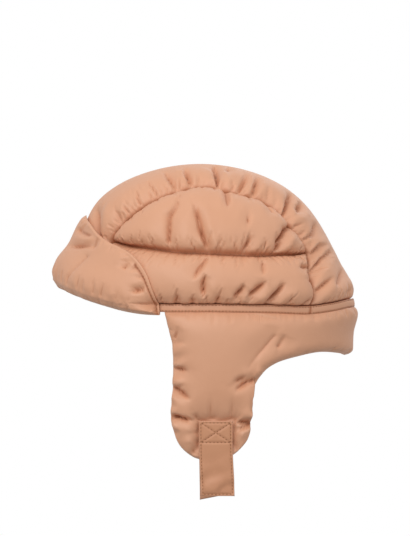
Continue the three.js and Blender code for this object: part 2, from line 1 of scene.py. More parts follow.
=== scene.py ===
# Padded trapper hat: a quilted crown, a band, a turned-up front flap, ear flaps with a neck guard, chin straps.
# Shapes are worked out in millimetres in the part's own frame and scaled to metres when a mesh is made.
# The brow is towards -X, the wearer's left towards -Y, and z = 0 is the middle of the band over the ears.
import bpy
import bmesh
import math
import time
import numpy as np
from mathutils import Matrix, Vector


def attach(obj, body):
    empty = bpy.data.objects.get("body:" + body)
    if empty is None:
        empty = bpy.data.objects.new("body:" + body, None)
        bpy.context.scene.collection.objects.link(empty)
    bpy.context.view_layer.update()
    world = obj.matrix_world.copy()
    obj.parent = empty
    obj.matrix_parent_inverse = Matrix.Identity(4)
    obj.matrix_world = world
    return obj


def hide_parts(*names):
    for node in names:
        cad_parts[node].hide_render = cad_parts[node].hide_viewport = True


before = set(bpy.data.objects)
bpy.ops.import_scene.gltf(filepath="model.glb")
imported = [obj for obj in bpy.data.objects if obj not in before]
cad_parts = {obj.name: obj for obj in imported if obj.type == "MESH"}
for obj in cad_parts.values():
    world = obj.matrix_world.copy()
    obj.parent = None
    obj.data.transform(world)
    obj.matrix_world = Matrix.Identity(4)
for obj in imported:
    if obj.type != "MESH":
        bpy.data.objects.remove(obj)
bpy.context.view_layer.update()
mm = 0.001
began = time.time()


# Prints a stage's name and the seconds since the start.
def report(stage):
    print(f"{stage}: {time.time() - began:.1f} s")


# A new object in the scene that holds the given data.
def addObject(name, data):
    made = bpy.data.objects.new(name, data)
    bpy.context.scene.collection.objects.link(made)
    return made


studio = dict(
    lookAt=(-0.00774, 0.0, 0.0344),  # metres, the middle of the picture
    distance=14.0,
    sensorWidth=36,
    frameHeight=0.4625,  # metres across the picture's height at the middle of the hat
    floorHeight=-0.3,
    floorRadius=5.0,
    floorCorners=96,
    floorColour="#DEDBD7",
    roomLight=(0.36, 0.78),  # from below and from above
    roomBlend=0.4,  # one turns into the other within this rise above and below level
    key=dict(place=(-1.0, -1.8, 1.5), size=1.0, power=17),
    front=dict(place=(-0.4, -2.4, 0.8), size=1.0, power=8),
    fill=dict(place=(1.5, -1.8, 0.9), size=1.3, power=5),
    back=dict(place=(0.8, 2.2, 1.2), size=1.4, power=5),
)


# The camera looks level along +Y at the wearer's left side, from far off, so that the two sides line up. Its
# lens is the sensor's width times the distance over the picture's height.
def makeCamera(s):
    data = bpy.data.cameras.new("camera")
    data.sensor_width = s["sensorWidth"]
    data.lens = data.sensor_width * s["distance"] / s["frameHeight"]
    camera = addObject("camera", data)
    x, y, z = s["lookAt"]
    camera.location = (x, y - s["distance"], z)
    camera.rotation_euler = (math.radians(90), 0, 0)
    bpy.context.scene.camera = camera


makeCamera(studio)

# The head form that the seams lie on: an oval at each height. rise is the height as a share of crownHeight, or
# below the band of earFlapDrop; front, back and side are the oval's reach as shares of half the length or width.
form = dict(
    crownLength=234, crownWidth=188, crownHeight=113, earFlapDrop=132,
    levels=dict(
        rise=[-1.35, -1, -0.6, -0.3, -0.15, 0, 0.1, 0.2, 0.3, 0.45, 0.6, 0.75, 0.88, 0.94],
        front=[0.975, 0.975, 0.975, 0.975, 0.975, 0.975, 0.965, 0.95, 0.933, 0.898, 0.86, 0.785, 0.612, 0.467],
        back=[0.98, 0.98, 0.98, 0.98, 0.985, 1.02, 1.0, 0.92, 0.85, 0.77, 0.692, 0.578, 0.402, 0.263],
        side=[0.85, 0.885, 0.95, 0.99, 1.0, 1.0, 1.005, 1.0, 0.985, 0.945, 0.875, 0.755, 0.565, 0.415],
    ),
)
halfLength = form["crownLength"] / 2
halfWidth = form["crownWidth"] / 2
crownHeight = form["crownHeight"]
earFlapDrop = form["earFlapDrop"]
seamGap = 0.05  # between neighbouring panels, so narrow that no light shows through


# A curve through the given values: cubic between them with the neighbours' slopes, straight beyond.
def curveThrough(at, value):
    at, value = np.asarray(at, float), np.asarray(value, float)
    low = np.maximum(np.arange(len(at)) - 1, 0)
    high = np.minimum(np.arange(len(at)) + 1, len(at) - 1)
    slope = (value[high] - value[low]) / (at[high] - at[low])

    def curve(x):
        x = np.asarray(x, float)
        i = np.clip(np.searchsorted(at, x) - 1, 0, len(at) - 2)
        span = at[i + 1] - at[i]
        t = np.clip((x - at[i]) / span, 0, 1)
        rise = value[i + 1] - value[i]
        bend = (1 - t) * (slope[i] * span - rise) + t * (rise - slope[i + 1] * span)
        inside = value[i] + t * rise + t * (1 - t) * bend
        return inside + slope[0] * np.minimum(x - at[0], 0) + slope[-1] * np.maximum(x - at[-1], 0)

    return curve


# The oval's middle, and its squared half axes over the depth below the top, against height.
def formCurves():
    table = {k: np.array(v) for k, v in form["levels"].items()}
    height = table["rise"] * np.where(table["rise"] < 0, earFlapDrop, crownHeight)
    below = crownHeight - height
    middle = curveThrough(height, halfLength * (table["back"] - table["front"]) / 2)
    length = curveThrough(height, (halfLength * (table["back"] + table["front"]) / 2) ** 2 / below)
    width = curveThrough(height, (halfWidth * table["side"]) ** 2 / below)
    return middle, length, width


middleAt, lengthAt, widthAt = formCurves()


# Pattern plane to form: height falls with the squared radius, x and y follow the oval at that height.
def formPoint(pattern):
    p, q = pattern[..., 0], pattern[..., 1]
    z = crownHeight * (1 - p * p - q * q)
    x = middleAt(z) + p * np.sqrt(lengthAt(z) * crownHeight)
    return np.stack([x, q * np.sqrt(widthAt(z) * crownHeight), z], -1)


# The slope of x squared over length plus y squared over width less the depth below the top, taken upwards as
# the difference over 1 mm.
def formNormal(point):
    x, y, z = point[..., 0], point[..., 1], point[..., 2]
    level = lambda h: (x - middleAt(h)) ** 2 / lengthAt(h) + y ** 2 / widthAt(h) - (crownHeight - h)
    normal = np.stack([2 * (x - middleAt(z)) / lengthAt(z), 2 * y / widthAt(z), level(z + 0.5) - level(z - 0.5)], -1)
    return normal / np.linalg.norm(normal, axis=-1, keepdims=True)


# A place seen from the side, as a point of the pattern plane; side is -1 on the wearer's left.
def fromSideView(x, z, side):
    x, z = np.asarray(x, float), np.asarray(z, float)
    p = (x - middleAt(z)) / np.sqrt(lengthAt(z) * crownHeight)
    return np.stack([p, side * np.sqrt(np.maximum(1 - z / crownHeight - p * p, 0))], -1)


# An angle round the head, 0 at the nape, and a height, as a point of the pattern plane.
def fromAngle(angle, z):
    reach = np.sqrt(1 - np.asarray(z, float) / crownHeight)
    return np.stack([reach * np.cos(angle), reach * np.sin(angle)], -1)


# The angle round the head of one point of the pattern plane.
def angleOf(at):
    return math.atan2(at[1], at[0])


# The angle round the head at which a place is seen from the side.
def angleAt(x, z=0.0):
    return np.arccos(np.clip((x - middleAt(z)) / np.sqrt(lengthAt(z) * (crownHeight - z)), -1, 1))


# Points at even distances along the smooth curve through the given ones, which is worked out in short steps.
def spaced(points, cells, steps=200):
    points = np.asarray(points, float)
    n = len(points) - 1
    t = np.linspace(0, n, steps * n + 1)
    i = np.minimum(t.astype(int), n - 1)
    f = (t - i)[:, None]
    a, b, c, d = (points[np.clip(i + k, 0, n)] for k in (-1, 0, 1, 2))
    v0, v1 = (c - a) / 2, (d - b) / 2
    dense = (2 * b - 2 * c + v0 + v1) * f ** 3 + (-3 * b + 3 * c - 2 * v0 - v1) * f ** 2 + v0 * f + b
    run = np.concatenate([[0], np.cumsum(np.linalg.norm(np.diff(dense, axis=0), axis=1))])
    want = np.linspace(0, run[-1], cells + 1)
    return np.stack([np.interp(want, run, dense[:, k]) for k in range(points.shape[1])], -1)


# An easy rise from 0 to 1: three times t squared less twice t cubed.
def smooth(t):
    t = np.clip(t, 0, 1)
    return t * t * (3 - 2 * t)


# How far padding has risen at a distance from a seam: a quarter round.
def swell(distance, reach):
    return np.sqrt(1 - (1 - np.clip(distance / reach, 0, 1)) ** 2)


# Seams: band is the height of its middle line, from the nape round the ear to the brow; arch and quilt are
# places seen from the side, as shares of half crownLength and of crownHeight.
seams = dict(
    bandHeight=7.0, bandProud=3.0, browRise=17.5,
    band=dict(
        around=[0, 0.1, 0.19, 0.27, 0.36, 0.5, 0.66, 0.73, 0.86, 0.95, 1],
        lift=[0.25, 0.2, 0.03, -0.1, -0.05, 0, 0.03, 0.2, 0.72, 0.97, 1],
    ),
    arch=[
        (-0.86, 0.15), (-0.809, 0.32), (-0.743, 0.505), (-0.553, 0.727), (-0.281, 0.867), (-0.081, 0.905),
        (0.155, 0.858), (0.382, 0.776), (0.537, 0.612), (0.676, 0.416), (0.691, 0.213), (0.698, 0.02),
    ],
    quiltStart=2, quiltEnd=9,
    quilt=[
        (-0.743, 0.505), (-0.595, 0.472), (-0.397, 0.445), (-0.191, 0.421),
        (0.081, 0.409), (0.338, 0.4), (0.559, 0.407), (0.676, 0.416),
    ],
)
bandLift = curveThrough(seams["band"]["around"], np.array(seams["band"]["lift"]) * seams["browRise"])


# Height of the band's middle line at an angle round the head.
def bandLine(angle):
    return bandLift(np.arccos(np.cos(angle)) / math.pi)


# The band's upper edge at an angle round the head, in the pattern plane.
def bandTop(angle):
    return fromAngle(angle, bandLine(angle) + seams["bandHeight"] / 2)


# The arch seam as pattern points: up from the band to the quilting line, over the top, and down.
def archRuns(side, foot, crest):
    xz = np.array(seams["arch"])
    points = fromSideView(xz[:, 0] * halfLength, xz[:, 1] * crownHeight, side)
    for end in (0, -1):
        points[end] = bandTop(angleOf(points[end]))
    a, b = seams["quiltStart"], seams["quiltEnd"]
    return spaced(points[:a + 1], foot), spaced(points[a:b + 1], crest), spaced(points[b:], foot)


# A four-sided patch: the borders' straight blends both ways, less the blend of the corners.
def patch(low, high, start, end):
    u = np.linspace(0, 1, len(low))[None, :, None]
    v = np.linspace(0, 1, len(start))[:, None, None]
    across = low[None] * (1 - v) + high[None] * v
    along = start[:, None] * (1 - u) + end[:, None] * u
    corners = (low[0] * (1 - u) + low[-1] * u) * (1 - v) + (high[0] * (1 - u) + high[-1] * u) * v
    return across + along - corners


# Distances along rows and columns from each place to the grid's west, east, south and north borders.
def edgeDistances(point):
    ru = np.linalg.norm(np.diff(point, axis=1), axis=2)
    rv = np.linalg.norm(np.diff(point, axis=0), axis=2)
    west = np.concatenate([np.zeros((len(point), 1)), np.cumsum(ru, 1)], 1)
    south = np.concatenate([np.zeros((1, point.shape[1])), np.cumsum(rv, 0)], 0)
    return west, west[:, -1:] - west, south, south[-1:] - south


# A mesh from points in mm and one array of faces for each kind; scale enlarges it.
def makeMesh(name, points, *faces, scale=1):
    mesh = bpy.data.meshes.new(name)
    corners = (points.reshape(-1, 3) * mm * scale).tolist()
    mesh.from_pydata(corners, [], [face for group in faces for face in group.tolist()])
    return addObject(name, mesh)


# Lets one of bmesh's operators work on a piece's mesh.
def mend(piece, work):
    bm = bmesh.new()
    bm.from_mesh(piece.data)
    work(bm)
    bm.to_mesh(piece.data)
    bm.free()


# The four-sided faces between the neighbours of a grid of point numbers.
def quads(k):
    return np.stack([k[:-1, :-1], k[:-1, 1:], k[1:, 1:], k[1:, :-1]], -1).reshape(-1, 4)


# The faces of a plain grid, whose points are numbered row by row.
def gridFaces(rows, cells):
    return quads(np.arange(rows * cells).reshape(rows, cells))


# 1 on a grid's borders and 0 inside them.
def borderOf(shape):
    border = np.ones(shape)
    border[1:-1, 1:-1] = 0
    return border


# A running mean along rows and columns, repeated, with the borders' values held on outside the grid.
def blur(field, cells, turns=3):
    for _ in range(turns):
        for axis in (0, 1):
            pad = [(cells + 1, cells) if k == axis else (0, 0) for k in (0, 1)]
            total = np.cumsum(np.pad(field, pad, mode="edge"), axis)
            size = field.shape[axis]
            ends = [np.take(total, np.arange(a, a + size), axis) for a in (2 * cells + 1, 0)]
            field = (ends[0] - ends[1]) / (2 * cells + 1)
    return field


# An uneven field from 0 to 1: sine waves about size long, in seeded directions, added up.
def uneven(point, size, seed, waves=5):
    dice = np.random.default_rng(seed)
    total = 0
    for _ in range(waves):
        way = dice.normal(size=3)
        way *= 2 * math.pi / np.linalg.norm(way) / size / dice.uniform(0.7, 1.4)
        total = total + np.sin(point @ way + dice.uniform(0, 6))
    return smooth(0.5 + total / waves)


# What all folds share, with lengths in mm
fold = dict(
    fadeFrom=3, fadeOver=22,  # they come in this far from the hat's middle, over this length
    farMove=(5, 3), farDepth=0.7, farSpread=0.3,  # how the far side's folds differ
    lean=0.6, ridge=0.35, ridgeAt=2, creaseWidth=1.7, creasePower=1.5,  # their shape across
    pressDeep=0.6, pressCrease=0.4, least=0.15,  # what is pressed into the billowed cloth, and what stays of it
    hold=0.45, holdDepth=3,  # how firmly a crease is held, and how deep the firmest is
)


# Depth of the folds, and of the narrow crease along each one's path, at places seen from the side. Each fold is
# (depth, width, path). Depth falls off with the distance to the path, faster on one side of it, with a low ridge
# along the other. It fades from the path's start to its end and towards the hat's middle. The far side has the
# same folds a little moved and shallower, so the two sides aren't mirror images.
def foldField(point, folds):
    deep, crease = np.zeros(point.shape[:2]), np.zeros(point.shape[:2])
    for far in (False, True):
        shown = smooth((point[..., 1] * (1 if far else -1) - fold["fadeFrom"]) / fold["fadeOver"])
        for k, (depth, wide, path) in enumerate(folds):
            path = np.array(path, float)
            if far:
                path = path + (fold["farMove"][0] * math.sin(7 * k), fold["farMove"][1] * math.cos(5 * k))
                depth = depth * (fold["farDepth"] + fold["farSpread"] * math.sin(3 * k))
            step = np.diff(path, axis=0)
            length = np.linalg.norm(step, axis=1)
            before = np.concatenate([[0], np.cumsum(length)])
            away, along, turn = np.full(deep.shape, 1e9), np.zeros(deep.shape), np.ones(deep.shape)
            for j in range(len(step)):
                x, z = point[..., 0] - path[j, 0], point[..., 2] - path[j, 1]
                t = np.clip((x * step[j, 0] + z * step[j, 1]) / length[j] ** 2, 0, 1)
                d = np.hypot(x - t * step[j, 0], z - t * step[j, 1])
                along = np.where(d < away, (before[j] + t * length[j]) / before[-1], along)
                turn = np.where(d < away, np.tanh((x * step[j, 1] - z * step[j, 0]) / length[j]), turn)
                away = np.minimum(away, d)
            fade = (1 - along ** 3) * shown
            lean = np.sign(wide) * turn
            ridge = (0.5 + 0.5 * lean) * np.exp(-(away / abs(wide) - fold["ridgeAt"]) ** 2)
            valley = np.exp(-away / abs(wide) / (1 + fold["lean"] * lean))
            deep += depth * fade * (valley - fold["ridge"] * ridge)
            line = np.exp(-(away / fold["creaseWidth"]) ** fold["creasePower"])
            crease = np.maximum(crease, depth * fade * line)
    return deep, crease


# The height of padding: puff less the folds' depth, times loft, and at least leastPuff of puff times loft.
def foldedHeight(c, loft, deep):
    return c["puff"] * np.maximum(loft - deep / c["puff"] * loft, c["leastPuff"] * loft)


# The folds are pressed into the billowed cloth, their creases deepest, over as much of it as share gives.
def pressFolds(height, deep, crease, share):
    pressed = fold["pressDeep"] * deep + fold["pressCrease"] * crease
    return np.maximum(height - pressed * share, fold["least"] * height)


# How firmly the cloth is held along a crease while it billows: more along a deeper one.
def creaseHold(crease):
    return fold["hold"] * smooth(crease / fold["holdDepth"])


seamWidth = 1.1  # mm, how wide a seam's groove and its painted shade are
offSeam = 9  # mm, a distance at which neither shows


# How much painted shade the cloth gets: 1 on a seam, falling as a bell over seamWidth, and up to share along a
# crease of deepCrease mm.
def seamShade(rim, crease, share=0.75, deepCrease=4):
    return np.maximum(np.exp(-(rim / seamWidth) ** 2), share * smooth(crease / deepCrease) ** 2)


# Lets a sheet of cloth billow out between its seams under the padding's push. It is cut larger than its seams
# by the excess, more where full is 1, so it puckers along them.
def billow(name, start, normal, held, full, cloth):
    rows, cells = start.shape[:2]
    faces = gridFaces(rows, cells)
    spin = np.cross(start[1:-1, 2:] - start[1:-1, :-2], start[2:, 1:-1] - start[:-2, 1:-1])
    if (spin * normal[1:-1, 1:-1]).sum() < 0:
        faces = faces[:, ::-1]
    sheet = makeMesh(name, start, faces, scale=cloth["scale"])
    for title, field in (("held", held), ("full", full)):
        group = sheet.vertex_groups.new(name=title)
        weight = np.round(field.ravel(), 2)
        for w in np.unique(weight[weight > 0]):
            group.add(np.flatnonzero(weight == w).tolist(), float(w), "REPLACE")
    modifier = sheet.modifiers.new("cloth", "CLOTH")
    modifier.collision_settings.use_collision = False
    modifier.point_cache.frame_start, modifier.point_cache.frame_end = 1, cloth["frames"]
    c = modifier.settings
    c.quality = cloth["quality"]
    c.mass = cloth["mass"]
    c.tension_stiffness = c.compression_stiffness = cloth["stretching"]
    c.shear_stiffness = cloth["shearing"]
    c.bending_stiffness = cloth["bending"]
    c.vertex_group_mass = "held"
    c.vertex_group_shrink = "full"
    c.shrink_min, c.shrink_max = -cloth["excess"][0], -cloth["excess"][1]
    c.use_pressure = True
    c.uniform_pressure_force = cloth["push"]
    c.effector_weights.gravity = 0
    c.air_damping = cloth["damping"]
    for k in range(1, cloth["frames"] + 1):
        bpy.context.scene.frame_set(k)
    settled = sheet.evaluated_get(bpy.context.evaluated_depsgraph_get()).data
    where = np.empty(rows * cells * 3)
    settled.vertices.foreach_get("co", where)
    bpy.data.objects.remove(sheet)
    return where.reshape(rows, cells, 3) / (mm * cloth["scale"])


# The billowed cloth, brought to the height that the padding has there: its height over the base is scaled by
# the wanted mean over the mean it reached, so puckers and folds stay, and they are made crisper by what a blur
# takes away. Returns height and sideways shift.
def padding(name, base, normal, height, held, cloth):
    border = np.min(edgeDistances(base), 0)
    jitter = (uneven(base, cloth["jitterSize"], cloth["seed"]) - 0.5) * np.minimum(height, 1) * cloth["jitter"]
    start = base + normal * (height * cloth["slack"] + jitter)[..., None]
    full = uneven(base, cloth["fullSize"], cloth["seed"] + 1)
    moved = billow(name, start, normal, held, full, cloth) - base
    reached = (moved * normal).sum(-1)
    aside = moved - reached[..., None] * normal
    wanted, mean = (blur(h, cloth["evenOut"]) + cloth["evenBase"] for h in (height, np.maximum(reached, 0)))
    ratio = wanted / mean
    reached = reached + cloth["crisp"] * smooth(border / cloth["crispFrom"]) * (reached - blur(reached, 1, 2))
    limit = cloth["slide"] / np.maximum(np.linalg.norm(aside, axis=-1), cloth["slide"])
    return np.maximum(reached * ratio, 0), aside * (limit * smooth(border / cloth["still"]))[..., None]


# Borders are drawn back by half the gap that panels keep to each other, or a third of a cell if that is less.
def drawIn(point, gap):
    point = point.copy()
    whole = slice(None)
    for edge, inner in (((0,), (1,)), ((-1,), (-2,)), ((whole, 0), (whole, 1)), ((whole, -1), (whole, -2))):
        step = point[inner] - point[edge]
        length = np.linalg.norm(step, axis=-1, keepdims=True)
        point[edge] = point[edge] + step / np.maximum(length, 1e-6) * np.minimum(gap / 2, length / 3)
    return point


# A grid of the pattern plane laid on the form, its borders drawn in, with the form's outward directions.
def seamSheet(pattern):
    point = formPoint(pattern)
    normal = formNormal(point)
    return drawIn(point, seamGap), normal


# Twice as many rows and columns: each new place is nine sixteenths of its two neighbours' sum less a
# sixteenth of the next two's, which keeps creases crisp.
def refined(field):
    for _ in range(2):
        padded = np.concatenate([2 * field[:1] - field[1:2], field, 2 * field[-1:] - field[-2:-1]])
        middle = (9 * (padded[1:-2] + padded[2:-1]) - padded[:-3] - padded[3:]) / 16
        doubled = np.empty((2 * len(field) - 1,) + field.shape[1:])
        doubled[::2], doubled[1::2] = field, middle
        field = doubled.swapaxes(0, 1)
    return field


# Places round a grid's border, in order.
def aroundGrid(rows, cells):
    k = np.arange(rows * cells).reshape(rows, cells)
    return np.concatenate([k[0, :-1], k[:-1, -1], k[-1, :0:-1], k[:0:-1, 0]])


# Gives a piece its UV map from each point's distances in mm, and smooth shading.
def addUv(piece, uv):
    layer = piece.data.uv_layers.new(name="cloth")
    loops = np.empty(len(piece.data.loops), int)
    piece.data.loops.foreach_get("vertex_index", loops)
    layer.data.foreach_set("uv", uv[loops].ravel() * mm)
    piece.data.polygons.foreach_set("use_smooth", [True] * len(piece.data.polygons))


# The painted shade of each point in a seam or a crease, from 0 to 1, stored as the attribute depth for the cloth's
# material to darken by.
def addPaintedShade(piece, shade):
    piece.data.attributes.new("depth", "FLOAT", "POINT").data.foreach_set("value", shade.ravel())


# One closed mesh from an outer grid and an inner one with half as many cells each way. Five-sided faces join
# them round the border. The UV map counts metres along the outer grid. shade, from 0 to 1, is the painted shade
# of the cloth in its seams and creases.
def closedShell(name, outer, inner, shade):
    fine, coarse = outer.shape[:2], inner.shape[:2]
    count = fine[0] * fine[1]
    rim, ring = aroundGrid(*fine), aroundGrid(*coarse) + count
    walls = np.stack([np.roll(rim, -2)[::2], rim[1::2], rim[::2], ring, np.roll(ring, -1)], -1)
    front, back = gridFaces(*fine), gridFaces(*coarse)[:, ::-1] + count
    points = np.concatenate([outer.reshape(-1, 3), inner.reshape(-1, 3)])
    corner = points[front]
    spin = np.cross(corner[:, 2] - corner[:, 0], corner[:, 3] - corner[:, 1])
    turn = -1 if (formNormal(corner.mean(1)) * spin).sum() < 0 else 1
    piece = makeMesh(name, points, front[:, ::turn], back[:, ::turn], walls[:, ::turn])
    west, _, south, _ = edgeDistances(outer)
    uv = np.stack([west, south], -1)
    addUv(piece, np.concatenate([uv.reshape(-1, 2), uv[::2, ::2].reshape(-1, 2)]))
    addPaintedShade(piece, np.concatenate([shade.ravel(), 0 * inner[..., 0].ravel()]))
    return piece


# Points that meet are merged, and the piece gets its material and the nodes that it replaces.
def finishPiece(piece, material, slot, *nodes, meet=0.02):
    mend(piece, lambda bm: bmesh.ops.remove_doubles(bm, verts=bm.verts, dist=meet * mm))
    piece.data.materials.append(material)
    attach(piece, "root")
    if nodes:
        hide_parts(*nodes)
    report(piece.name)
    return piece


# An sRGB hex colour as linear red, green, blue and full alpha.
def linear(code):
    shares = [int(code[k:k + 2], 16) / 255 for k in (1, 3, 5)]
    return [s / 12.92 if s <= 0.04045 else ((s + 0.055) / 1.055) ** 2.4 for s in shares] + [1]


# Adds a shader node, sets its properties or input values, and links the sockets given by name or number.
def addNode(tree, kind, settings=None, links=None):
    node = tree.nodes.new("ShaderNode" + kind)
    for key, value in (settings or {}).items():
        if isinstance(key, str) and hasattr(node, key):
            setattr(node, key, value)
        else:
            node.inputs[key].default_value = value
    for key, source in (links or {}).items():
        tree.links.new(source, node.inputs[key])
    return node


# Woven polyester shell cloth, dyed in the piece and calendered. It gives a broad, soft, satin highlight, a fine
# plain weave that only shows close up, a trace of uneven dye, a paler look where raised cloth rubs, and painted
# shade in its hollows, seams and creases.
def wovenShell(name, dye, deepDye, worn, shadow):
    material = bpy.data.materials.new(name)
    material.use_nodes = True
    tree = material.node_tree
    tree.nodes.clear()
    uv = addNode(tree, "UVMap", {"uv_map": "cloth"}).outputs[0]
    place = addNode(tree, "TexCoord").outputs["Object"]
    # Threads lie 0.25 mm apart in such cloth; the weave is drawn at 0.7 mm, or it wouldn't show.
    # A wave texture has 20 / (2 pi) bands to a unit of its scale.
    bands = 2 * math.pi / (0.7 * mm) / 20
    warp = addNode(tree, "TexWave", {"bands_direction": "X", "Scale": bands}, {"Vector": uv})
    weft = addNode(tree, "TexWave", {"bands_direction": "Y", "Scale": bands}, {"Vector": uv})
    weave = addNode(tree, "Math", {"operation": "ADD"}, {0: warp.outputs["Fac"], 1: weft.outputs["Fac"]})
    crumple = addNode(tree, "TexNoise", {"Scale": 110, "Detail": 3, "Roughness": 0.55}, {"Vector": place})
    patches = addNode(tree, "TexNoise", {"Scale": 22, "Detail": 3}, {"Vector": place})
    raised = addNode(tree, "NewGeometry").outputs["Pointiness"]
    rubbed = addNode(tree, "MapRange", {"From Min": 0.52, "From Max": 0.62}, {"Value": raised})
    tint = {"data_type": "RGBA", 6: linear(dye), 7: linear(deepDye)}
    dyed = addNode(tree, "Mix", tint, {0: patches.outputs["Fac"]})
    tint = {"data_type": "RGBA", 7: linear(worn)}
    wear = addNode(tree, "Mix", tint, {0: rubbed.outputs[0], 6: dyed.outputs[2]})
    # Painted shade: the cloth darkens to the shadow colour in hollows, found by pointiness, and in seams and creases,
    # by the attribute depth
    paintedHollowShade = addNode(tree, "MapRange", {"From Min": 0.485, "From Max": 0.4}, {"Value": raised}).outputs[0]
    sewn = addNode(tree, "Attribute", {"attribute_name": "depth"}).outputs["Fac"]
    deepest = addNode(tree, "Math", {"operation": "MAXIMUM"}, {0: paintedHollowShade, 1: sewn})
    tint = {"data_type": "RGBA", 7: linear(shadow)}
    paintedShadeMix = addNode(tree, "Mix", tint, {0: deepest.outputs[0], 6: wear.outputs[2]})
    fine = addNode(tree, "Bump", {"Strength": 0.1, "Distance": 0.1 * mm}, {"Height": weave.outputs[0]})
    soft = addNode(
        tree, "Bump", {"Strength": 0.45, "Distance": 0.6 * mm},
        {"Height": crumple.outputs["Fac"], "Normal": fine.outputs[0]},
    )
    shader = addNode(
        tree, "BsdfPrincipled",
        {"Roughness": 0.52, "IOR": 1.5, "Sheen Weight": 0.15, "Sheen Roughness": 0.4, "Sheen Tint": linear("#F7D5BE")},
        {"Base Color": paintedShadeMix.outputs[2], "Normal": soft.outputs[0]},
    )
    addNode(tree, "OutputMaterial", None, {0: shader.outputs[0]})
    return material


# One even colour and roughness.
def plainMaterial(name, colour, roughness):
    material = bpy.data.materials.new(name)
    material.use_nodes = True
    shader = material.node_tree.nodes["Principled BSDF"]
    shader.inputs["Base Color"].default_value = linear(colour)
    shader.inputs["Roughness"].default_value = roughness
    return material


# The last colour of each cloth is its painted shade in hollows, seams and creases
shellCloth = wovenShell("woven_polyester_shell", "#DBA483", "#D59B78", "#E2B092", "#A8623C")
strapCloth = wovenShell("folded_polyester_strap", "#CD946F", "#C68A67", "#D9A486", "#9C5E3A")
# Twisted polyester sewing thread, darker than the cloth: partly its own tone, partly painted shade of the needle
# holes; with a small hard glint
thread = plainMaterial("polyester_sewing_thread", "#94603F", 0.4)

sewing = dict(pitch=2.9, length=2.1, radius=0.3, sides=6, shoulder=0.55, lift=0.4, dive=0.8)


# Rows of stitches along runs of points, one every pitch. Each is a rod of two rings, at the shoulder's share of
# its half length and lifted off the cloth by a share of its radius, with a tip at each end that dives into it.
def sewRows(name, runs, slot="shell_cloth"):
    ends = []
    for run in runs:
        far = np.concatenate([[0], np.cumsum(np.linalg.norm(np.diff(run, axis=0), axis=1))])
        count = max(int(far[-1] / sewing["pitch"]), 1)
        at = (np.arange(count) + 0.5) * far[-1] / count
        reach = (at - sewing["length"] / 2, at + sewing["length"] / 2)
        ends.append(np.stack([[np.interp(a, far, run[:, k]) for k in range(3)] for a in reach]))
    ends = np.concatenate(ends, 2).transpose(2, 0, 1)
    centre, way = ends.mean(1), ends[:, 1] - ends[:, 0]
    way /= np.linalg.norm(way, axis=1, keepdims=True)
    normal = formNormal(centre)
    normal -= (normal * way).sum(1, keepdims=True) * way
    aside = np.cross(way, normal)
    turn = np.linspace(0, 2 * math.pi, sewing["sides"], endpoint=False)[None, None, :, None]
    station = np.array([-1, 1])[None, :, None, None] * sewing["shoulder"] * sewing["length"] / 2
    ring = np.cos(turn) * aside[:, None, None] + (sewing["lift"] + np.sin(turn)) * normal[:, None, None]
    rings = centre[:, None, None] + station * way[:, None, None] + sewing["radius"] * ring
    tips = centre[:, None] + np.array([-0.5, 0.5])[None, :, None] * sewing["length"] * way[:, None]
    tips = tips - sewing["dive"] * sewing["radius"] * normal[:, None]
    n = sewing["sides"]
    points = np.concatenate([rings.reshape(len(centre), -1, 3), tips], 1)
    k = np.arange(n)
    after = (k + 1) % n
    start = np.arange(len(centre))[:, None, None] * (2 * n + 2)
    sides = np.stack([k, after, after + n, k + n], -1)[None] + start
    tip = 0 * k + 2 * n
    caps = np.concatenate([np.stack([after, k, tip], -1), np.stack([k + n, after + n, tip + 1], -1)])
    piece = makeMesh(name, points, sides.reshape(-1, 4), (caps[None] + start).reshape(-1, 3))
    mend(piece, lambda bm: bmesh.ops.recalc_face_normals(bm, faces=bm.faces))
    finishPiece(piece, thread, slot)


# What the padded pieces' cloth shares, in mm. The solver works best on sheets some metres wide, hence scale.
# frames is how long they settle, excess the least and the most extra cloth, slack the share of its height that
# a sheet starts from, slide how far it may shift sideways, and still how far from its border it may do so fully.
clothRun = dict(
    scale=10, frames=24, quality=6, mass=0.15, stretching=15, shearing=5, bending=0.15, damping=5, push=20,
    excess=(0.03, 0.13), slack=0.8, slide=2.5, still=5, fullSize=45, jitter=0.5, jitterSize=14,
    evenOut=6, evenBase=0.5, crisp=0.8, crispFrom=3,
)

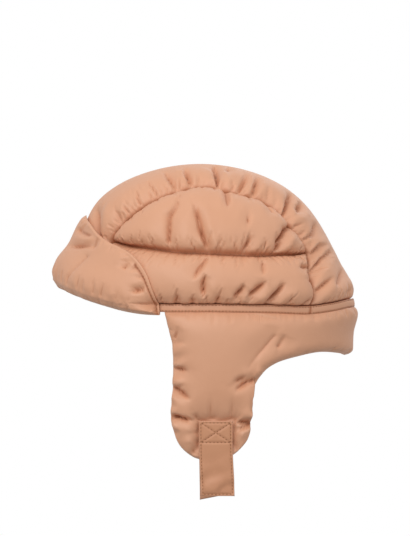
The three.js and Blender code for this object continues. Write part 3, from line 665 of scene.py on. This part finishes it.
# Folds are (depth, width, path), each path a row of places seen from the side, from the seam that draws it in.
crown = dict(
    puff=11, lining=4.5, wall=6, reach=24, reachBelow=14, reachAbove=30, napeReach=45, seamDepth=3, sag=2.5,
    leastPuff=0.3, foot=30, crest=132, channel=30, across=84, bend=4, seamLoft=0.05,
    centreSeed=3, sideSeed=11,
    centreFolds=[
        (4.5, 3.5, [(4, 98), (0, 111), (0, 119)]), (3, 3, [(10, 110), (9, 119)]), (3.5, 3.5, [(19, 95), (26, 106)]),
        (3, 3, [(31, 94), (34, 104)]), (4.5, 3.5, [(57, 75), (58, 86), (62, 95)]), (3.5, 3.5, [(66, 80), (72, 91)]),
        (3, 4, [(-32, 99), (-41, 108)]), (3, 2.5, [(-21, 104), (-24, 109)]), (2.5, 5, [(78, 60), (79, 71)]),
        (3, 3, [(81, 46), (84, 53)]), (4.5, 3.5, [(74, 17), (80, 29), (86, 40), (93, 48)]),
        (4, 3.5, [(83, 11), (90, 18), (96, 24)]), (2.5, 6, [(101, 19), (104, 40)]),
        (3, 3, [(112, 12), (115, 15), (118, 14)]), (3.5, 4, [(-94, 62), (-93, 87)]), (3, 3.5, [(-78, 71), (-77, 80)]),
    ],
    sideFolds=[
        (5, 4, [(50, 55), (56, 65), (63, 70), (68, 75), (72, 74)]),
        (3, 6, [(-37, 56), (-36, 75), (-30, 83), (-26, 99)]),
        (4, 3.5, [(-7, 52), (-11, 63), (-13, 72), (-16, 82), (-20, 88)]), (3, 3, [(10, 97), (10, 79)]),
        (2.5, 4, [(44, 86), (47, 75)]), (2, 4, [(26, 74), (24, 64)]), (3.5, 4, [(24, 48), (29, 60)]),
        (3.5, 4, [(49, 47), (55, 58)]), (3, 6, [(-7, 41), (-18, 25)]), (3, 4, [(-9, 16), (-9, 23), (-6, 29)]),
        (2.5, 5, [(40, 37), (38, 26)]), (3.5, 4, [(18, 12), (25, 20)]), (4, 4, [(30, 13), (42, 22)]),
        (5, 4, [(44, 6), (57, 20)]), (4, 4, [(74, 2), (81, 10)]), (3, 3.5, [(71, 34), (79, 34)]),
        (2.5, 3, [(-33, 4), (-28, 13)]), (2.5, 3, [(-19, 4), (-17, 10)]), (2.5, 3, [(1, 4), (4, 11)]),
    ],
)


# Straight lines between the arch seams, bent near the band so that the ends lie on the band's edge.
def centrePattern(c):
    arches = [archRuns(side, c["foot"], c["crest"]) for side in (-1, 1)]
    left, right = (np.concatenate([rise, top[1:], fall[1:]]) for rise, top, fall in arches)
    share = np.linspace(0, 1, c["across"] + 1)[:, None, None]
    straight = left[None] * (1 - share) + right[None] * share
    along = np.linspace(0, 1, len(left))[None, :, None]
    brow = bandTop(np.linspace(2 * math.pi + angleOf(left[0]), angleOf(right[0]), len(share)))
    nape = bandTop(np.linspace(angleOf(left[-1]), angleOf(right[-1]), len(share)))
    browBend = (brow[:, None] - straight[:, :1]) * (1 - along) ** c["bend"]
    napeBend = (nape[:, None] - straight[:, -1:]) * along ** c["bend"]
    return straight + (browBend + napeBend)


# The lower channel is a patch from the band to the quilting line, the upper one runs on to the arch seam.
def sidePattern(c, side):
    rise, crest, fall = archRuns(side, c["foot"], c["crest"])
    down = fall[::-1]
    turn = 2 * math.pi if side < 0 else 0
    foot = bandTop(np.linspace(angleOf(rise[0]) + turn, angleOf(down[0]) + turn, c["crest"] + 1))
    xz = np.array(seams["quilt"])
    quilt = spaced(fromSideView(xz[:, 0] * halfLength, xz[:, 1] * crownHeight, side), c["crest"])
    lower = patch(foot, quilt, rise, down)
    share = np.linspace(0, 1, c["channel"] + 1)[1:, None, None]
    return np.concatenate([lower, quilt[None] * (1 - share) + crest[None] * share])


needle = dict(depth=0.22, spacing=6.0, run=4.0, rise=1.5, wander=5, wanderSize=40, slant=0.3, seed=2)


# Small puckers where a row of stitches draws the cloth in: narrow dents across it, about spacing apart but
# uneven, which die away from it over run. along and away are distances in mm along and from the stitching.
def needlePuckers(point, along, away):
    shift = needle["wander"] * uneven(point, needle["wanderSize"], needle["seed"])
    phase = along / needle["spacing"] * math.pi + shift + needle["slant"] * away
    fade = needle["depth"] * np.exp(-away / needle["run"]) * swell(away, needle["rise"])
    return fade * (1 - np.abs(np.sin(phase))) ** 2


# A padded crown panel: its height over the seams is the puff times a quarter round from each seam, less the
# folds. The lining swells inwards the same way.
def crownPanel(c, name, node, pattern, folds, seed, quiltRow=None):
    point, normal = seamSheet(pattern)
    held = borderOf(point.shape[:2])
    if quiltRow:
        held[quiltRow] = 1
        low, high = edgeDistances(point[:quiltRow + 1]), edgeDistances(point[quiltRow:])
        reaches = (c["reach"], c["reach"], c["reachBelow"], c["reachAbove"])
        lower = np.prod([swell(d, reach) for d, reach in zip(low, reaches)], 0)
        upper = swell(high[2], c["reachBelow"]) * swell(high[3], c["reachAbove"])
        loft = np.concatenate([lower, upper[1:]])
    else:
        reaches = (c["reach"],) * 3 + (c["napeReach"],)
        west, east, south, north = edgeDistances(point)
        loft = np.prod([swell(d, reach) for d, reach in zip((south, north, west, east), reaches)], 0)
    deep, crease = foldField(point, folds)
    height = foldedHeight(c, loft, deep)
    held = np.maximum(held, creaseHold(crease) * (loft > c["seamLoft"]))
    height, aside = padding(name, point, normal, height, held, dict(clothRun, seed=seed))
    height = pressFolds(height, deep, crease, loft)
    # Gravity lets each channel sag over the seam below it, more where it stands out more
    downhill = normal * normal[..., 2:] - (0, 0, 1)
    aside = aside + downhill * (c["sag"] * height / c["puff"])[..., None]
    outer, normal = refined(point + normal * height[..., None] + aside), refined(normal)
    west, east, south, north = edgeDistances(refined(point))
    rim = np.min([west, east, south, north], 0)
    if quiltRow:
        quilt = np.abs(south - south[2 * quiltRow])
        rim = np.minimum(rim, quilt)
        dents = sum(needlePuckers(outer, west, away) for away in (north, quilt, south))
    else:
        dents = sum(needlePuckers(outer, south, away) for away in (west, east))
    outer = outer - normal * (dents + c["seamDepth"] * np.exp(-rim / seamWidth))[..., None]
    inner = point - normal[::2, ::2] * (c["wall"] + c["lining"] * loft)[..., None]
    # Painted shade along its seams, its quilting line and its creases
    shell = closedShell(name, outer, inner, seamShade(rim, refined(crease * loft)))
    piece = finishPiece(shell, shellCloth, "shell_cloth", node)
    return outer


crownPanel(
    crown, "crown_centre_padding", "crown_centre_panel", centrePattern(crown),
    crown["centreFolds"], crown["centreSeed"],
)
for side, word in ((-1, "left"), (1, "right")):
    outer = crownPanel(
        crown, f"crown_side_padding_{word}", f"crown_side_panel_{word}", sidePattern(crown, side),
        crown["sideFolds"], crown["sideSeed"] + side, crown["foot"],
    )
    sewRows(f"thread_quilting_{word}", [outer[2 * crown["foot"]]])

band = dict(
    cells=480, rows=14, edge=0.6, edgeLift=0.85, proud=2.2, wall=6, puff=0.3, radius=104,
    row=0.9, rowDepth=0.35, rowWidth=0.5, stitched=dict(lower=2, upper=-3),  # the rows of points that are sewn
    seamDepth=0.6, seamReach=1.2, shadeAcross=0.8, shadeFrom=0.4,
    pucker=0.2, counts=(97, 31, 7), wander=2, slant=1.2,  # counts round the head: puckers, their fading, their shift
)


# A strip round the crown's foot: proud of the seams, its edges rounded down, with faint puckers across it. They
# are a fine sine wave round the head times a slow one. Its two rows of stitching lie in grooves.
def makeBand(b):
    angle = np.linspace(0, 2 * math.pi, b["cells"], endpoint=False)
    share = np.linspace(-1, 1, b["rows"] + 1)[:, None]
    half = seams["bandHeight"] / 2 - seamGap / 2
    point = formPoint(fromAngle(angle[None] + 0 * share, bandLine(angle)[None] + share * half))
    normal = formNormal(point)
    edge = (1 - np.abs(share)) * half
    fine, slow, shift = b["counts"]
    wave = np.sin(angle * fine + b["wander"] * np.sin(angle * shift)) * np.sin(angle * slow + share * b["slant"])
    pucker = b["pucker"] * wave * np.abs(share)
    lift = b["edgeLift"] + (1 - b["edgeLift"]) * swell(edge, b["edge"])
    groove = b["rowDepth"] * np.exp(-((edge - b["row"]) / b["rowWidth"]) ** 2)
    # The panels' seams run on across the band, from where the arches end
    ends = [archRuns(side, 2, 2)[part][index] for side in (-1, 1) for part, index in ((0, 0), (2, -1))]
    away = np.min([np.abs(np.angle(np.exp(1j * (angle - angleOf(end))))) for end in ends], 0) * halfLength
    groove = groove + b["seamDepth"] * np.exp(-away / b["seamReach"])
    # Painted shade along its edges and where the panels' seams cross it
    shade = seamShade(np.minimum(b["shadeAcross"] * away[None], edge + b["shadeFrom"]), 0 * edge)
    height = (b["proud"] - b["puff"]) * lift + b["puff"] * (1 - share ** 2) + pucker - groove
    outer = point + normal * height[..., None]
    inner = point - normal * (b["wall"] * np.ones(height.shape))[..., None]
    count = outer.shape[0] * b["cells"]
    k = np.arange(count).reshape(outer.shape[:2])
    k = np.concatenate([k, k[:, :1]], 1)
    front = quads(k)
    foot = np.stack([k[0, 1:], k[0, :-1], k[0, :-1] + count, k[0, 1:] + count], -1)
    head = np.stack([k[-1, :-1], k[-1, 1:], k[-1, 1:] + count, k[-1, :-1] + count], -1)
    faces = np.concatenate([front, front[:, ::-1] + count, foot, head])
    points = np.concatenate([outer.reshape(-1, 3), inner.reshape(-1, 3)])
    piece = makeMesh("crown_band_strip", points, faces)
    around = np.arange(b["cells"]) * (2 * math.pi * b["radius"] / b["cells"])
    uv = np.stack(np.broadcast_arrays(around[None], share * half), -1).reshape(-1, 2)
    addUv(piece, np.tile(uv, (2, 1)))
    addPaintedShade(piece, np.stack([shade, 0 * shade]))
    finishPiece(piece, shellCloth, "shell_cloth", "crown_band")
    for name, row in b["stitched"].items():
        sewRows(f"thread_band_{name}", [np.concatenate([outer[row], outer[row, :1]])])


makeBand(band)

skirt = dict(
    cells=200, rows=56, puff=9, lining=4.5, reach=16, napeReach=8, start=0.6, wall=6, edgeWall=4, round=2.5,
    leastPuff=0.3, earWidth=69, earCentre=-3.5, neckDrop=41.5, columnLean=0.65,
    napePuff=0.62, napeFrom=70, napeOver=45, excess=(0.01, 0.06), seed=21,
    # The lower edge, from an ear flap's front to the nape: on the flap, along counts in half widths from its
    # middle and drop is a share of earFlapDrop; on the neck guard, along runs from the flap to the nape and
    # drop from neckDrop (0) to earFlapDrop (1).
    ear=[
        (-0.98, 0.715), (-0.9, 0.79), (-0.81, 0.865), (-0.66, 0.925), (-0.33, 0.98), (0.12, 0.99),
        (0.52, 0.965), (0.8, 0.905), (0.96, 0.83), (1.0, 0.7), (1.04, 0.545),
    ],
    neck=[(0.06, 0.17), (0.15, 0.07), (0.3, 0.005), (0.5, -0.04), (0.75, -0.03), (1.0, -0.01)],
    # The front edge, from the band down: share of the way down, along as above
    front=[(0, -1.15), (0.17, -1.04), (0.34, -0.945), (0.65, -0.935), (0.88, -0.965)],
    folds=[
        (1.6, 2.5, [(34, -5), (56, -11)]), (2.5, 3, [(123, -1), (116, -5)]), (2, 2.5, [(83, -5), (87, -7)]),
        (3.5, 5, [(-34, -51), (-22, -54)]), (4, 4, [(-33, -68), (-19, -78)]), (3.5, 4, [(-32, -92), (-15, -97)]),
        (2, 8, [(49, -24), (37, -39), (27, -54)]), (2.5, 6, [(19, -62), (28, -58)]),
        (3, 4, [(33, -62), (28, -64), (16, -71)]), (3.5, 4, [(28, -98), (15, -96)]),
        (3, 3.5, [(30, -100), (16, -105)]), (3, 4, [(-22, -128), (-15, -119)]), (3, 4, [(122, -33), (116, -38)]),
        (2.5, 5, [(-33, -25), (-29, -16)]), (2.5, 6, [(53, -32), (58, -22)]),
    ],
)
strap = dict(
    width=28, length=65, top=96, thickness=2, shift=5, columns=42, rows=96, hem=1.7, box=18.5, round=0.9,
    bedLoft=3.5, bedEdge=1.5, bedFade=7, underneath=0.99, bedHold=0.4, clearance=0.6, ripple=2.6, rippleSize=21,
    lean={-1: 1.6, 1: 0.6}, leanFrom=0.3, slant={-1: 0, 1: 5.5},  # the right one hangs a little askew
    rippleSeed=5, plump=0.2, stitchDepth=0.7, stitchWidth=0.9, stitchEnd=0.5,
)
strapX = skirt["earCentre"] + strap["shift"]


# The ear flaps and neck guard laid flat, as a patch between the band, the lower edge and the two front edges:
# x is the length that an angle round the head spans on the band.
def skirtPattern(s):
    def flat(angle, z):
        return np.stack(np.broadcast_arrays(angle * halfWidth, z), -1)

    earX = lambda share: s["earCentre"] + share * s["earWidth"] / 2
    ear, neck = np.array(s["ear"]), np.array(s["neck"])
    z = -ear[:, 1] * earFlapDrop
    earEdge = flat(angleAt(earX(ear[:, 0]), z), z)
    neckZ = -(s["neckDrop"] + neck[:, 1] * (earFlapDrop - s["neckDrop"]))
    neckEdge = flat(earEdge[-1, 0] / halfWidth * (1 - neck[:, 0]), neckZ)
    right = np.concatenate([earEdge, neckEdge])
    low = spaced(np.concatenate([right, right[-2::-1] * (-1, 1)]), s["cells"])
    frontAngle = angleAt(earX(s["front"][0][1]))
    even = np.linspace(1, -1, s["cells"] + 1)
    angle = frontAngle * (even * (1 - s["columnLean"]) + low[:, 0] / low[0, 0] * s["columnLean"])
    top = flat(angle, bandLine(angle) - seams["bandHeight"] / 2)
    front = np.array(s["front"])[1:]
    z = top[0, 1] * (1 - front[:, 0]) + low[0, 1] * front[:, 0]
    edge = spaced(np.concatenate([top[:1], flat(angleAt(earX(front[:, 1]), z), z), low[:1]]), s["rows"])
    at = patch(top, low, edge, edge * (-1, 1))
    return fromAngle(at[..., 0] / halfWidth, at[..., 1])


# Where the straps lie, the padding is pressed flat: 1 under a strap, falling easily to 0 over bedFade.
def strapBed(point, t):
    aside = np.abs(point[..., 0] - strapX) - t["width"] / 2 - t["bedEdge"]
    above = point[..., 2] + t["top"] - t["bedEdge"]
    return (1 - smooth(aside / t["bedFade"])) * (1 - smooth(above / t["bedFade"]))


# Free edges are round: over reach, the outer and the inner face run together in a quarter round at the middle.
def roundedFaces(height, depth, edge, reach, middle):
    share = swell(edge, reach)
    return middle + (height - middle) * share, middle + (depth - middle) * share


# The padded ear flaps and neck guard: the puff times a quarter round from each edge, less the folds, and pressed
# flat under the straps.
def makeSkirt(s, t):
    point, normal = seamSheet(skirtPattern(s))
    west, east, south, north = edgeDistances(point)
    # The neck guard's padding is firmer towards the nape, and all of it starts level with the band
    nape = smooth((point[..., 0] - s["napeFrom"]) / s["napeOver"])
    reach = s["reach"] + (s["napeReach"] - s["reach"]) * nape
    loft = swell(west, s["reach"]) * swell(east, s["reach"]) * swell(south + s["start"], reach) * swell(north, reach)
    loft *= 1 - (1 - s["napePuff"]) * nape
    bed = strapBed(point, t)
    deep, crease = foldField(point, s["folds"])
    height = foldedHeight(s, loft, deep) * (1 - bed) + np.minimum(s["puff"] * loft, t["bedLoft"]) * bed
    sewnOn = bed * (point[..., 2] > -t["top"] - t["box"])
    held = np.where(sewnOn > t["underneath"], 1, t["bedHold"] * (bed > t["underneath"]))
    held = np.max([borderOf(bed.shape), creaseHold(crease) * (1 - bed), held], 0)
    height, aside = padding("skirt", point, normal, height, held, dict(clothRun, seed=s["seed"], excess=s["excess"]))
    height = pressFolds(height, deep, crease, loft * (1 - bed))
    height = np.minimum(height, t["bedLoft"] + (1 - bed) * s["puff"])
    share = np.linspace(0, 1, s["rows"] + 1)[:, None]
    wall = s["wall"] * (1 - smooth(share)) + s["edgeWall"] * smooth(share)
    edge = np.minimum(np.minimum(west, east), north)
    high, deepest = roundedFaces(height, -wall - s["lining"] * loft, edge, s["round"], -wall / 2)
    outer = refined(point + normal * high[..., None] + aside)
    inner = point + normal * deepest[..., None]
    # Painted shade along its creases only; the edges are put out of a seam's reach
    shade = seamShade(refined(edge) + offSeam, refined(crease * loft))
    piece = closedShell("ear_and_neck_padding", outer, inner, shade)
    finishPiece(piece, shellCloth, "shell_cloth", "ear_and_neck_flap")


makeSkirt(skirt, strap)

flap = dict(
    cells=140, rows=40, height=64, hang=6.5, loft=22, edgeWall=3, thinning=0.35, end=66, clearance=1.2,
    bandClearance=0.4, seatReach=17, tackAngle=38, tackHeight=0.72, tackRadius=11, tackPinch=0.75, round=5,
    hem=4.6, hemWall=1.8, hemFade=3, hemFrom=0.62, hemOver=0.14, hemLeast=0.2, sewnFrom=0.1, unsewn=4,
    edgeRound=1.2, excess=(0.03, 0.08), slide=2.0, seed=31,
    # Free edge, from the brow's middle: share of end, share of height
    edge=[
        (0, 1.0), (0.27, 0.955), (0.485, 0.875), (0.606, 0.84), (0.773, 0.8),
        (0.89, 0.69), (0.955, 0.51), (0.985, 0.23), (1.0, 0.05),
    ],
    # Thickness as a share of loft, from the fold (0) to the free edge (1)
    section=[
        (0, 0.62), (0.06, 0.8), (0.14, 0.95), (0.25, 0.97), (0.4, 0.7),
        (0.6, 0.38), (0.8, 0.26), (0.93, 0.2), (1.0, 0.14),
    ],
    folds=[
        (4, 4, [(-95, 59), (-109, 66)]), (3, 3.5, [(-95, 50), (-111, 46)]), (3, 3, [(-89, 56), (-92, 45)]),
        (2.5, 3, [(-67, 35), (-69, 31)]), (3, 3, [(-56, 16), (-63, 13)]), (2, 6, [(-95, 40), (-105, 19)]),
    ],
)


# The turned-up flap: a grid from its fold to its free edge, straight up and down the form. It lies on the crown's
# padding, as thick as loft times its section, thin along the hem and pinched where it is tacked down.
def makeFlap(f):
    end = math.radians(f["end"])
    foot = lambda angle: bandLine(math.pi - angle) - f["hang"]
    edge = np.array(f["edge"])
    angle = edge[:, 0] * end
    right = np.stack([angle * halfLength, foot(angle) + edge[:, 1] * f["height"]], -1)
    high = spaced(np.concatenate([right[:0:-1] * (-1, 1), right]), f["cells"])
    angle = np.linspace(-end, end, f["cells"] + 1)
    low = np.stack([angle * halfLength, foot(angle)], -1)
    up = np.linspace(0, 1, f["rows"] + 1)[:, None]
    at = low[None] * (1 - up[..., None]) + high[None] * up[..., None]
    point, normal = seamSheet(fromAngle(math.pi + at[..., 0] / halfLength, at[..., 1]))
    west, east, south, north = edgeDistances(point)
    # It lies on the crown's padding, and at its foot on the band
    x, y, z = point[..., 0], point[..., 1], point[..., 2]
    above = z - bandLine(np.arctan2(y / halfWidth, (x - middleAt(z)) / halfLength)) - seams["bandHeight"] / 2
    padded = crown["puff"] * swell(above, f["seatReach"]) + f["clearance"]
    seat = np.maximum(padded, seams["bandProud"] + f["bandClearance"])
    tackZ = foot(math.radians(f["tackAngle"])) + f["tackHeight"] * f["height"]
    pinned = formPoint(fromAngle(math.pi - math.radians(f["tackAngle"]), tackZ))
    away = np.linalg.norm(point * (1, 0, 1) + np.abs(point) * (0, 1, 0) - pinned, axis=-1) / f["tackRadius"]
    section = curveThrough(*np.array(f["section"]).T)
    side = np.abs(np.linspace(-1, 1, f["cells"] + 1))[None]
    full = f["loft"] * section(up) * (1 - f["thinning"] * smooth(side))
    full = full * swell(west, crown["reach"]) * swell(east, crown["reach"])
    wide = f["hemLeast"] + (1 - f["hemLeast"]) * smooth((side - f["hemFrom"]) / f["hemOver"])
    hemWidth = f["hem"] * wide
    hem = smooth((hemWidth + f["hemFade"] - north) / f["hemFade"])
    deep, crease = foldField(point, f["folds"])
    pad = np.maximum(full * (1 - f["tackPinch"] * np.exp(-away ** 2)) - deep, f["edgeWall"])
    height = pad * (1 - hem) + f["hemWall"] * hem
    base = point + normal * seat[..., None]
    held = np.max([north <= hemWidth, borderOf(north.shape), creaseHold(crease) * (1 - hem)], 0)
    cloth = dict(clothRun, seed=f["seed"], slide=f["slide"], excess=f["excess"])
    height, aside = padding("flap", base, normal, height, held, cloth)
    height = np.maximum(pressFolds(height, deep, crease, 1 - hem), f["hemWall"])
    border = np.minimum(np.minimum(west, east), north)
    middle = f["hemWall"] / 2
    high, deepest = roundedFaces(height, np.zeros(height.shape), border, f["edgeRound"], middle)
    # At its foot it is rolled round, over most of its thickness
    roll = swell(south, f["round"])
    high = middle + (high - middle) * roll
    outer = refined(base + normal * high[..., None] + aside)
    inner = base + normal * deepest[..., None]
    # Painted shade along the sewn part of the hem and along the creases
    offHem = np.abs(north - hemWidth) + offSeam * (side < f["hemFrom"] + f["sewnFrom"])
    shell = closedShell("front_flap_padding", outer, inner, seamShade(refined(offHem), refined(crease)))
    piece = finishPiece(shell, shellCloth, "shell_cloth", "front_flap")
    # The hem's stitching, where the distance to the free edge is the hem's width
    north = edgeDistances(outer)[3]
    columns = np.arange(outer.shape[1])
    row = np.maximum((north > f["hem"]).sum(0) - 1, 0)
    part = np.clip((north[row, columns] - f["hem"]) / (north[row, columns] - north[row + 1, columns]), 0, 1)[:, None]
    run = outer[row, columns] * (1 - part) + outer[row + 1, columns] * part
    sewn = int(outer.shape[1] * (1 - f["hemFrom"] - f["sewnFrom"]) / 2)
    sewRows("thread_front_flap", [run[f["unsewn"]:sewn], run[-sewn:-f["unsewn"]]])


makeFlap(flap)


# A folded double strip: flat, with rounded edges, pressed in a little along its stitching, and slightly
# rippled where it hangs free. u counts across it from its middle, v down from its top.
def makeStrap(t, side, word):
    wide, long = t["width"] / 2, t["length"]
    seat = t["bedLoft"] + t["clearance"]
    lane = wide - t["hem"]
    top, bottom = t["hem"], t["box"]
    tilt = (bottom - top) / (2 * lane)

    def surface(u, v):
        lean = t["lean"][side] * smooth((v / long - t["leanFrom"]) / (1 - t["leanFrom"]))
        point = formPoint(fromSideView(strapX + u + lean, -t["top"] - v, side))
        hanging = smooth((v - bottom) / (long - bottom))
        ripple = t["ripple"] * hanging * (uneven(point, t["rippleSize"], t["rippleSeed"] + side) - 0.5)
        slant = lambda s: np.abs(v - (top + bottom) / 2 - s * tilt * u) / math.hypot(1, tilt)
        inBox = (v > top - t["stitchEnd"]) & (v < bottom + t["stitchEnd"])
        inLane = np.abs(u) < lane + t["stitchEnd"]
        rows = [np.abs(np.abs(u) - lane)]
        rows += [np.where(inLane, np.abs(v - row), offSeam) for row in (bottom, top, long - top)]
        rows += [np.where(inBox, slant(s), offSeam) for s in (-1, 1)]
        press = t["stitchDepth"] * np.exp(-(np.min(rows, 0) / t["stitchWidth"]) ** 2)
        return point, formNormal(point), seat + ripple, seat + ripple + t["thickness"] + t["plump"] - press

    share = np.linspace(-1, 1, t["columns"] + 1)[None]
    down = np.linspace(0, 1, t["rows"] + 1)[:, None]
    u, v = share * wide + 0 * down, down * (long + t["slant"][side] * (0.5 - share / 2))
    point, normal, low, high = surface(u, v)
    edge = np.minimum(wide - np.abs(u), np.minimum(down, 1 - down) * long)
    high, low = roundedFaces(high, low, edge, t["round"], (high + low) / 2)
    outer, inner = point + normal * high[..., None], (point + normal * low[..., None])[::2, ::2]
    shell = closedShell(f"chin_strap_{word}_strip", outer, inner, 0 * u)
    piece = finishPiece(shell, strapCloth, "strap_cloth", f"chin_strap_{word}")
    across, along = np.linspace(-lane, lane, 40), np.linspace(top, long - top, 120)
    boxed = np.linspace(top, bottom, len(across))
    sewn = [(0 * along - lane, along), (0 * along + lane, along)]
    sewn += [(across, 0 * across + row) for row in (top, bottom, long - top)] + [(across, boxed), (across, boxed[::-1])]
    runs = []
    for u, v in sewn:
        point, normal, _, high = surface(u, v)
        runs.append(point + normal * high[..., None])
    sewRows(f"thread_strap_{word}", runs, "strap_cloth")


for side, word in ((-1, "left"), (1, "right")):
    makeStrap(strap, side, word)


# A square light that faces the hat.
def areaLight(name, place, size, power, aim=(0, 0, 0)):
    data = bpy.data.lights.new(name, "AREA")
    data.size, data.energy = size, power
    lamp = addObject(name, data)
    lamp.location = place
    lamp.rotation_euler = (Vector(aim) - Vector(place)).to_track_quat("-Z", "Y").to_euler()


# A plain pale floor below the hat, which hangs as on a head, and soft light from all round and from above.
def makeStudio(s):
    turn = np.linspace(0, 2 * math.pi, s["floorCorners"], endpoint=False)
    rim = np.stack([np.cos(turn), np.sin(turn), 0 * turn], -1) * s["floorRadius"] + (0, 0, s["floorHeight"])
    floor = makeMesh("floor", rim / mm, np.arange(len(turn))[None])
    floor.data.materials.append(plainMaterial("pale_matte_card", s["floorColour"], 0.9))
    floor.visible_diffuse = False  # the light from below is the room's, so the hollows stay deep
    # The room looks white, and lights the hat softly from all round, less from below
    world = bpy.data.worlds.new("studio")
    bpy.context.scene.world = world
    world.use_nodes = True
    tree = world.node_tree
    seen = addNode(tree, "LightPath").outputs["Is Camera Ray"]
    way = addNode(tree, "TexCoord").outputs["Generated"]
    rise = addNode(tree, "SeparateXYZ", None, {0: way}).outputs["Z"]
    below, above = s["roomLight"]
    blend = {"From Min": -s["roomBlend"], "From Max": s["roomBlend"], "To Min": below, "To Max": above}
    light = addNode(tree, "MapRange", blend, {"Value": rise})
    strength = addNode(tree, "MapRange", None, {"Value": seen, "To Min": light.outputs[0]})
    room = tree.nodes["Background"]
    room.inputs["Color"].default_value = linear("#FFFFFF")
    tree.links.new(strength.outputs[0], room.inputs["Strength"])
    bpy.context.scene.view_settings.view_transform = "Standard"
    for name in ("key", "front", "fill", "back"):
        areaLight(name, **s[name])


makeStudio(studio)
report("studio")
